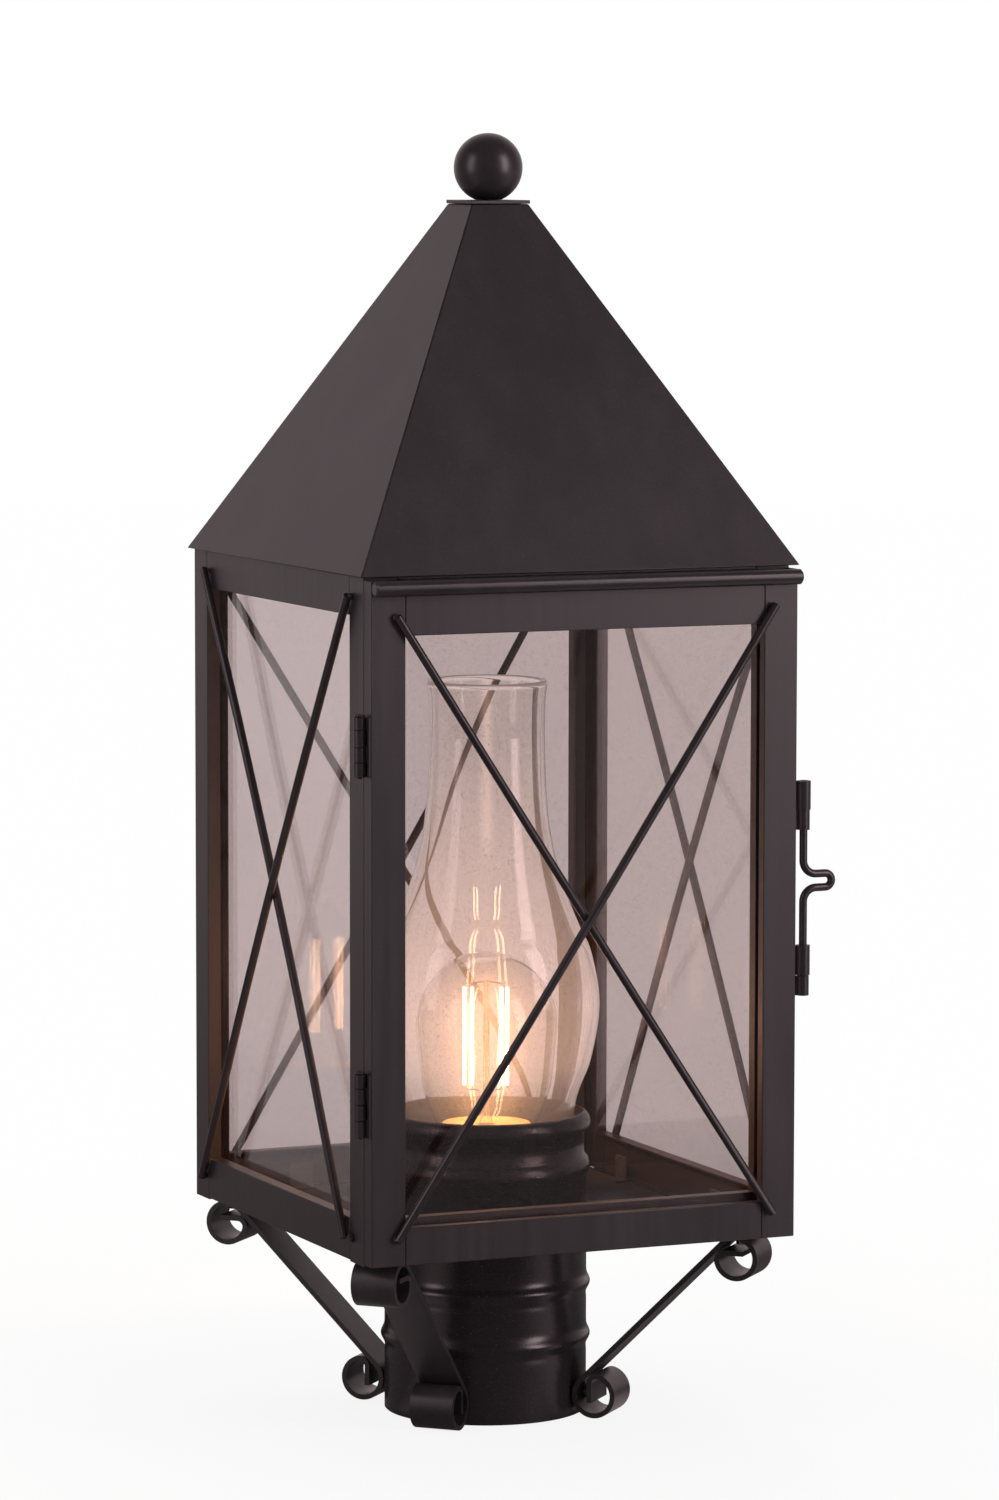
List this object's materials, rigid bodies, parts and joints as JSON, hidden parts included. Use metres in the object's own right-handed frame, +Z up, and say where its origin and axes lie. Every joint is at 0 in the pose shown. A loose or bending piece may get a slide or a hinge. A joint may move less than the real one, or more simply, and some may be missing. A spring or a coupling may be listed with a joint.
{
  "type": "post top lantern",
  "caption": "Square glazed lantern with crossed rods, pyramid roof, ball finial, hinged door, glass chimney and bulb, on a post fitter with scroll brackets.",
  "frame": {"origin": "centre of the fitter tube's bottom rim", "axes": "+Z up along the post, the door faces -Y, its hinges are at -X"},
  "size_m": [0.2, 0.1966, 0.5056],
  "materials": {
    "black_paint": "satin",
    "pane_glass": "polished",
    "clear_glass": "polished",
    "screw_steel": "satin",
    "brass_shell": "satin",
    "holder_body": "satin",
    "filament": "glowing when lit"
  },
  "bodies": {
    "case": {"bottom_rail_back": "black_paint", "bottom_rail_front": "black_paint", "bottom_rail_left": "black_paint", "bottom_rail_right": "black_paint", "bracket_back_left": "black_paint", "bracket_back_right": "black_paint", "bracket_front_left": "black_paint", "bracket_front_right": "black_paint", "bracket_screws": "screw_steel", "cap_plate": "black_paint", "chimney_cup": "black_paint", "chimney_seat": "black_paint", "clamp_screws": "screw_steel", "finial_ball": "black_paint", "finial_clamp": "screw_steel", "finial_stud": "screw_steel", "floor_pan": "black_paint", "hinge_leaves_case": "black_paint", "hinge_pins": "black_paint", "holder_contact": "brass_shell", "holder_shell": "brass_shell", "lamp_holder": "holder_body", "latch_cup": "black_paint", "pane_back": "pane_glass", "pane_clips": "black_paint", "pane_left": "pane_glass", "pane_right": "pane_glass", "post_back_left": "black_paint", "post_back_right": "black_paint", "post_fitter": "black_paint", "post_front_left": "black_paint", "post_front_right": "black_paint", "rods_back": "black_paint", "rods_left": "black_paint", "rods_right": "black_paint", "roof_back": "black_paint", "roof_front": "black_paint", "roof_left": "black_paint", "roof_right": "black_paint", "top_rail_back": "black_paint", "top_rail_front": "black_paint", "top_rail_left": "black_paint", "top_rail_right": "black_paint"},
    "door": {"door_bar": "black_paint", "door_pane": "pane_glass", "door_pane_clips": "black_paint", "door_rail_bottom": "black_paint", "door_rail_top": "black_paint", "door_rods": "black_paint", "door_stile_left": "black_paint", "door_stile_right": "black_paint", "hinge_leaves_door": "black_paint", "latch_guides": "black_paint"},
    "latch": {"latch_pin": "black_paint"},
    "chimney": {"chimney_glass": "clear_glass"},
    "bulb": {"bulb_cap": "brass_shell", "bulb_filaments": "filament", "bulb_glass": "clear_glass", "bulb_stem": "clear_glass"}
  },
  "joints": [
    {"name": "door_swing", "type": "hinge", "parent": "case", "child": "door", "pos_m": [-0.09165, -0.0917, 0.2], "axis": [0, 0, 1], "range_deg": [-160, 0]},
    {"name": "latch_lift", "type": "slide", "parent": "door", "child": "latch", "axis": [0, 0, 1], "range_m": [0, 0.009]},
    {"name": "chimney_lift", "type": "slide", "parent": "case", "child": "chimney", "axis": [0, 0, 1], "range_m": [0, 0.085]},
    {"name": "bulb_turn", "type": "hinge", "parent": "case", "child": "bulb", "pos_m": [0, 0, 0.1], "axis": [0, 0, 1], "range_deg": [0, 360]}
  ]
}
